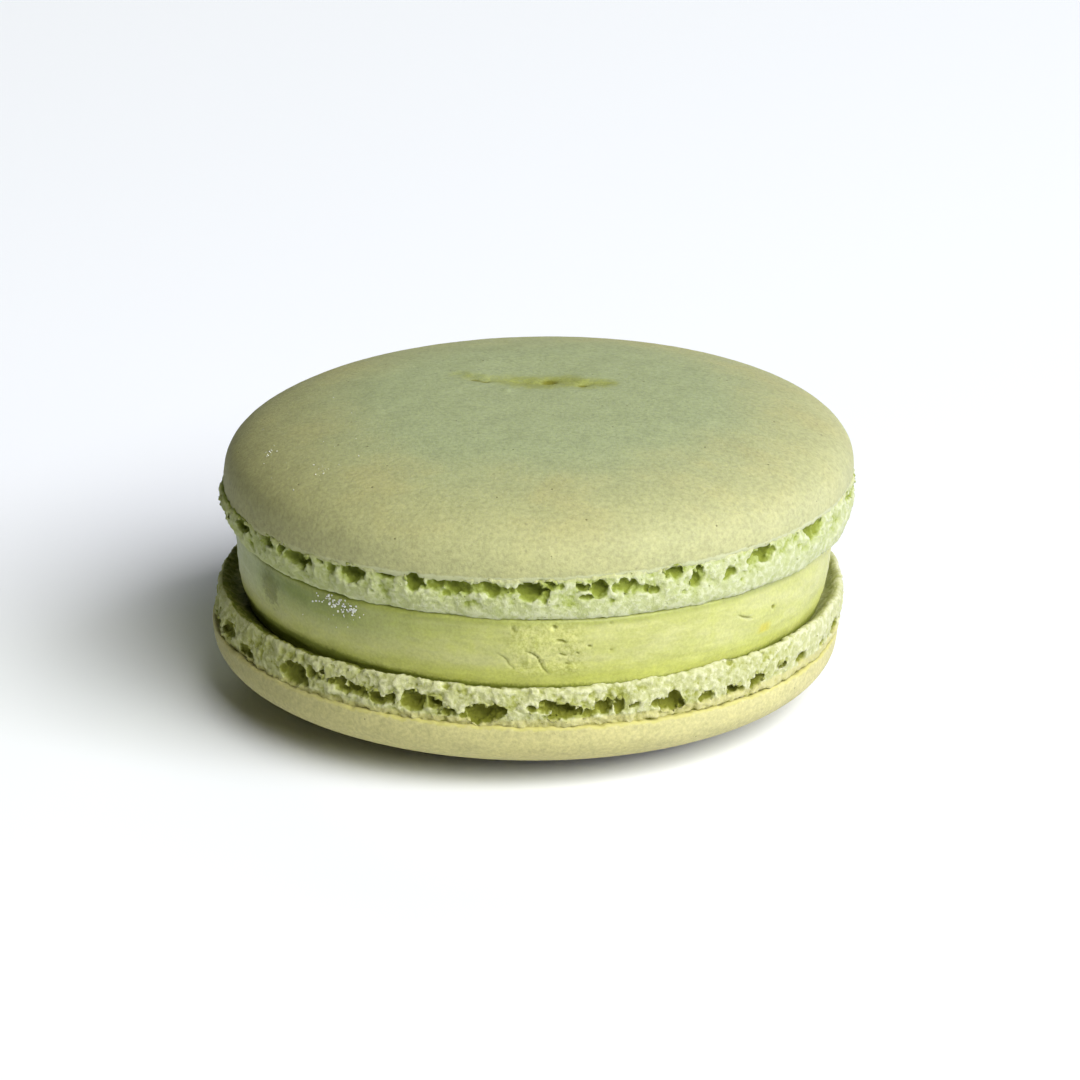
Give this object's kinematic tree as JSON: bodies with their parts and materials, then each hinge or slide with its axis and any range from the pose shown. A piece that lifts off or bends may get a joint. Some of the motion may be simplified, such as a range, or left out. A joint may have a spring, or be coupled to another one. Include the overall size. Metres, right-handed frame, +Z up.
{
  "type": "french macaron",
  "caption": "Round sandwich biscuit: smooth domed almond shells with ruffled, pitted feet, pressed around a thick band of green cream.",
  "frame": {"origin": "on the table under the middle of the biscuit", "axes": "+Z up out of the upper shell's crown; -Y is the front, where the cream shows widest; +X is to the right seen from the front"},
  "size_m": [0.0461, 0.0457, 0.0222],
  "materials": {
    "upper_crust": "matt sage green baked crust, a little browned towards its edge, with fine almond grain",
    "lower_crust": "matt pale yellow-green baked crust",
    "foot": "open, dry, whitish green meringue crumb with darker green pockets",
    "cream": "smooth soft green cream with a faint sheen",
    "sugar": "clear white sugar grains"
  },
  "bodies": {
    "root": {"upper_shell": "upper_crust", "filling": "cream", "lower_shell": "lower_crust"}
  },
  "joints": []
}
